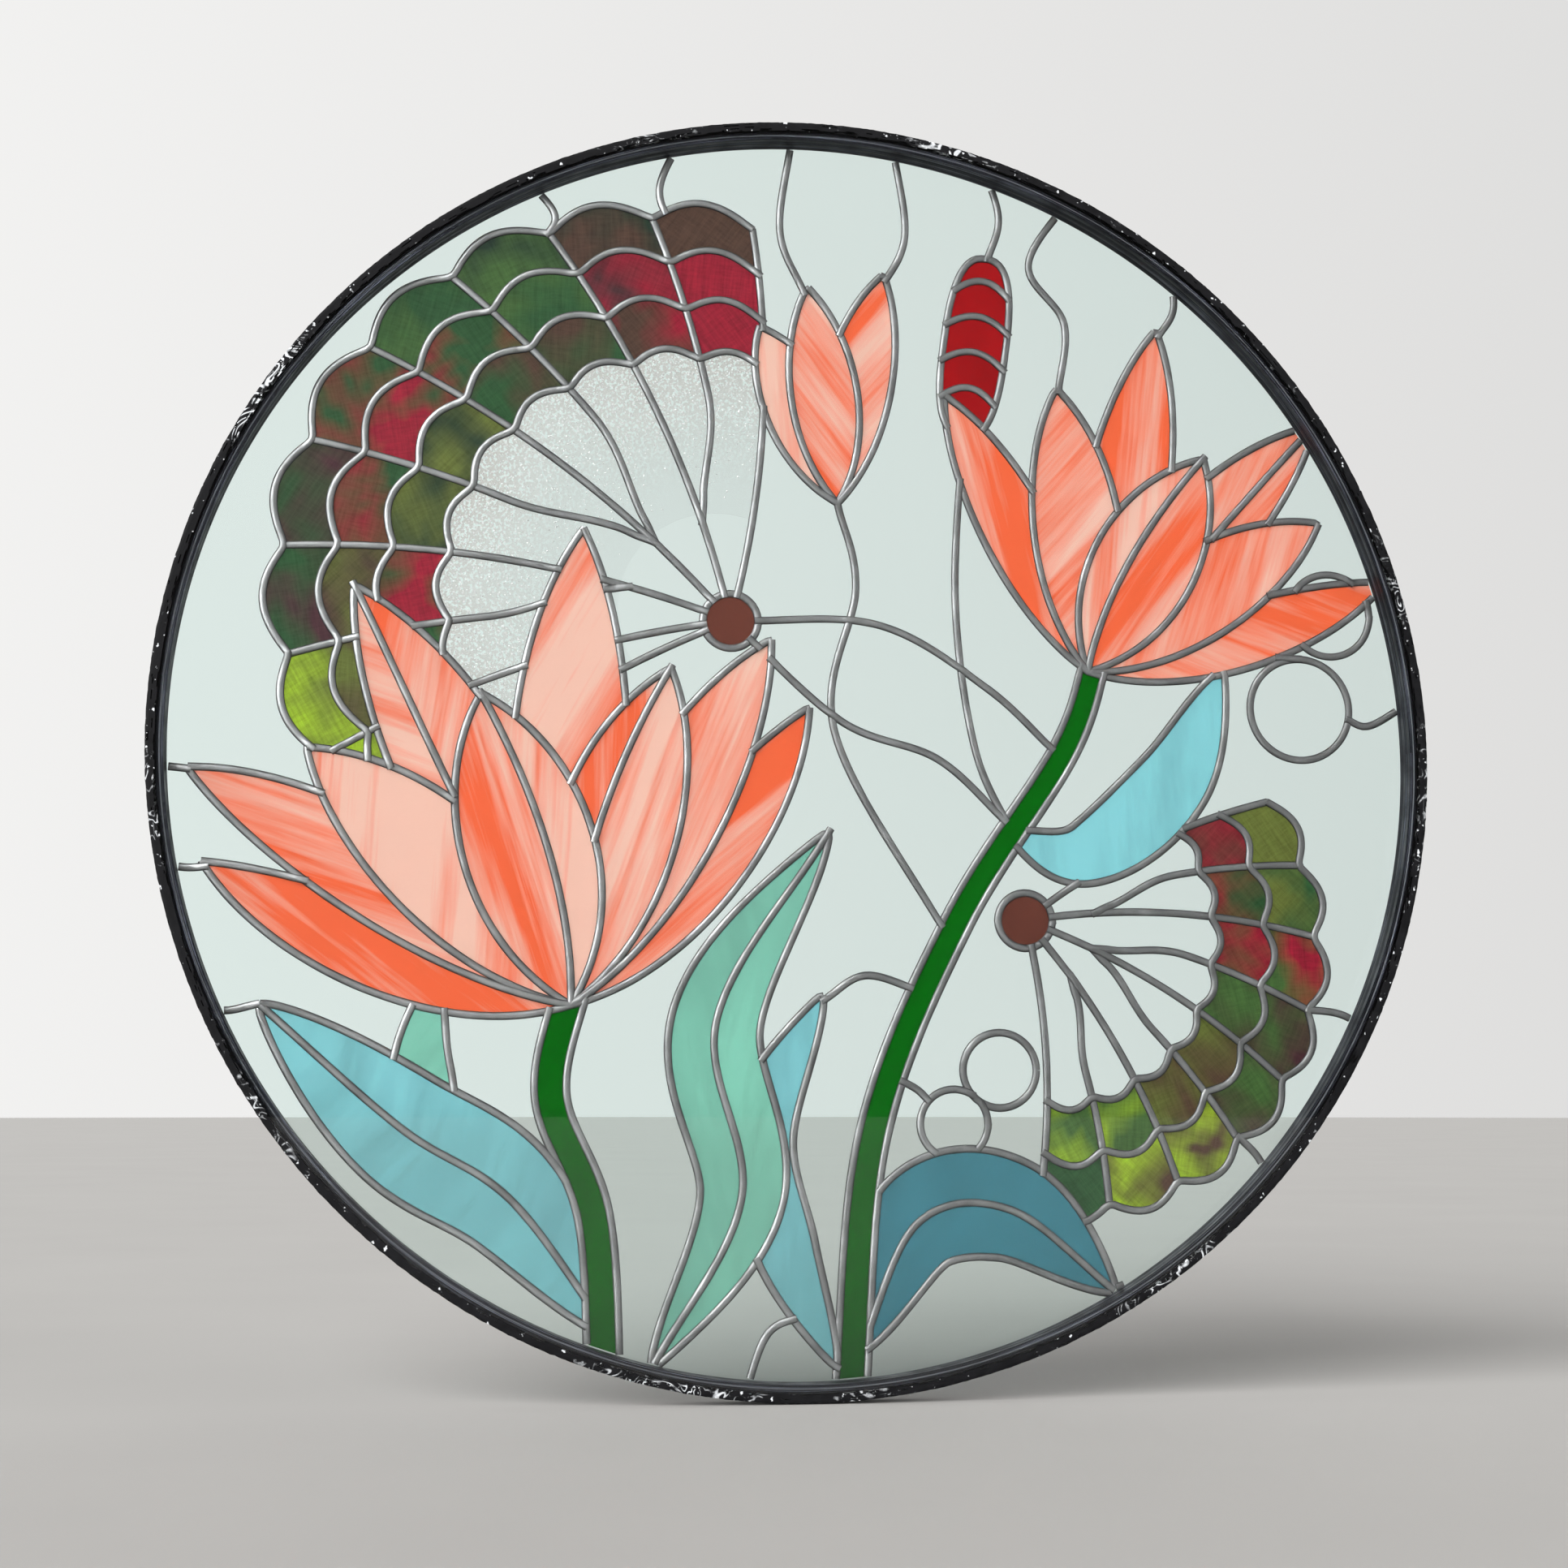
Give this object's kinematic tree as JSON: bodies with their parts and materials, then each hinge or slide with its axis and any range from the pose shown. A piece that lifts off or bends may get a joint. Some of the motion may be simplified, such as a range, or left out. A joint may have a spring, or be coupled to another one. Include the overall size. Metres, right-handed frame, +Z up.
{
  "type": "stained glass window",
  "caption": "Round double-glazed window unit with lead lines and coloured film inside the glass, showing water lilies, lily pads, leaves and a bulrush.",
  "frame": {"origin": "centre of the rear pane's outer face", "axes": "+Z up, the front (lead-line) side faces -Y, the flat rear face looks along +Y"},
  "size_m": [0.95, 0.028, 0.95],
  "materials": {
    "glass": "clear, polished",
    "spacer": "dark, satin",
    "sealant": "matt, scuffed and chipped",
    "lead": "dull grey lead, rubbed bright on top",
    "coral": "streaky opalescent film",
    "stem": "deep green film",
    "scarlet": "red film",
    "aqua": "pale blue film",
    "aqua_green": "blue-green film",
    "teal": "teal film",
    "pad": "mottled film in dark greens, umber and crimson",
    "maroon": "dark red-brown film"
  },
  "bodies": {
    "root": {"front_pane": "glass", "rear_pane": "glass", "spacer_bar": "spacer", "edge_sealant": "sealant", "lead_lines": "lead", "film_left_lily": "coral", "film_right_lily": "coral", "film_bud": "coral", "film_left_stem": "stem", "film_right_stem": "stem", "film_bulrush": "scarlet", "film_leaf_far_left": "aqua", "film_leaf_behind_middle": "aqua", "film_leaf_right": "aqua", "film_leaf_behind_left": "aqua_green", "film_leaf_middle": "aqua_green", "film_leaf_low_right": "teal", "film_left_pad": "pad", "film_right_pad": "pad", "film_left_pad_hub": "maroon", "film_right_pad_hub": "maroon"}
  },
  "joints": []
}
